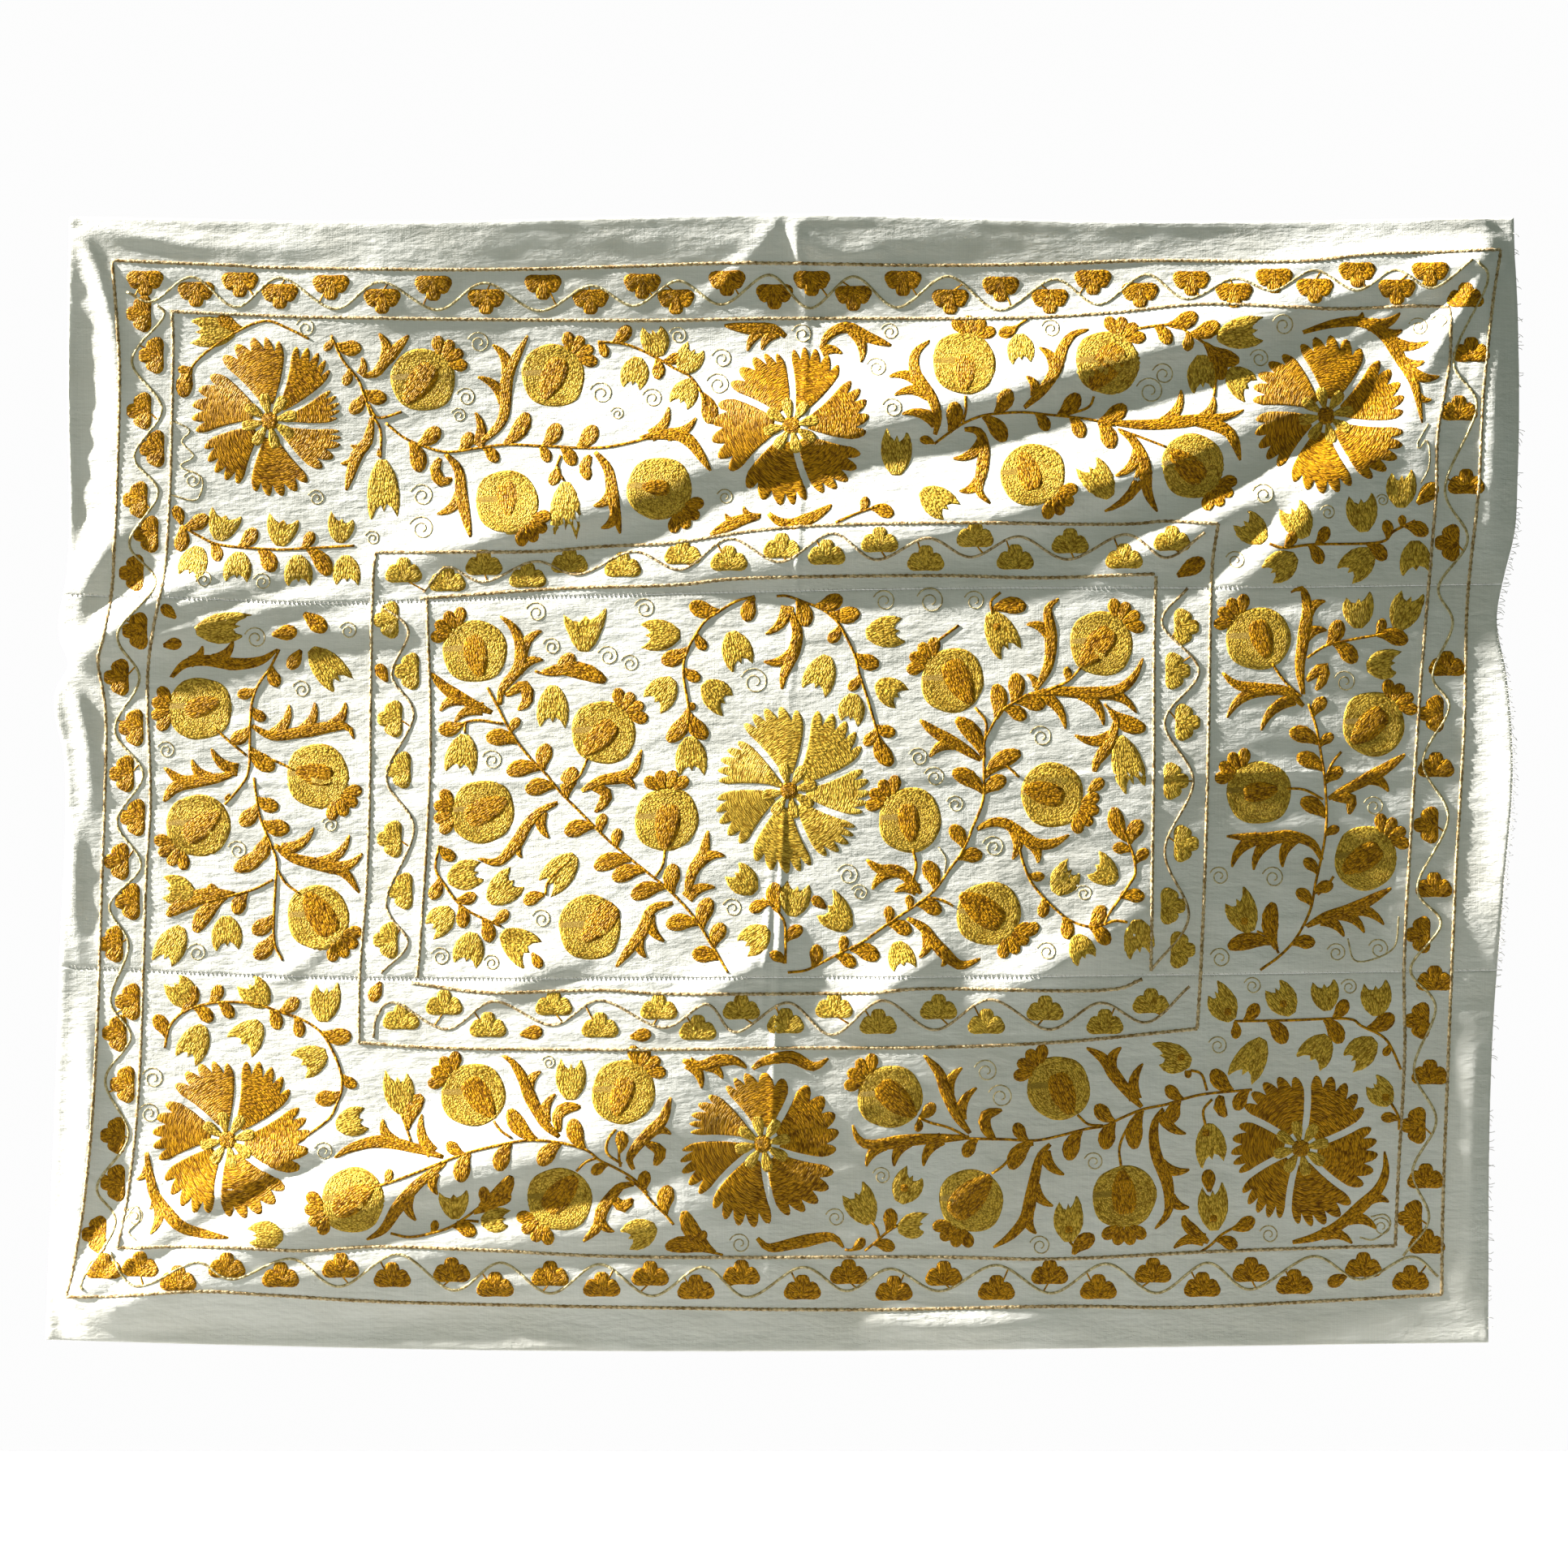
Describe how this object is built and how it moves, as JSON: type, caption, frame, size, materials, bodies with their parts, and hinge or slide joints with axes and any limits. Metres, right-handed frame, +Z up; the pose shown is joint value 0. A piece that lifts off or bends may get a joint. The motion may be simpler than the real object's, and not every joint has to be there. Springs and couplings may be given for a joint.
{
  "type": "suzani embroidered wall hanging",
  "caption": "Rectangular cotton hanging of joined loom widths, hung by its top edge in soft folds, with gold silk rosettes, pomegranates, tulips and leafy vines inside vine borders.",
  "frame": {"origin": "middle of the cloth's top edge, on its front face", "axes": "+X to the viewer's right along the width, +Y behind the cloth, +Z up; the embroidered face looks along -Y"},
  "size_m": [2.0146, 0.0571, 1.5527],
  "materials": {
    "cotton": "matt plain weave, undyed",
    "dark_gold_silk": "lustrous couched silk",
    "pale_gold_silk": "lustrous couched silk",
    "cream_silk": "satin chain stitch",
    "brown_cord": "twisted two-colour cord"
  },
  "bodies": {
    "root": {"panel_top": "cotton", "panel_middle": "cotton", "panel_bottom": "cotton"}
  },
  "joints": []
}
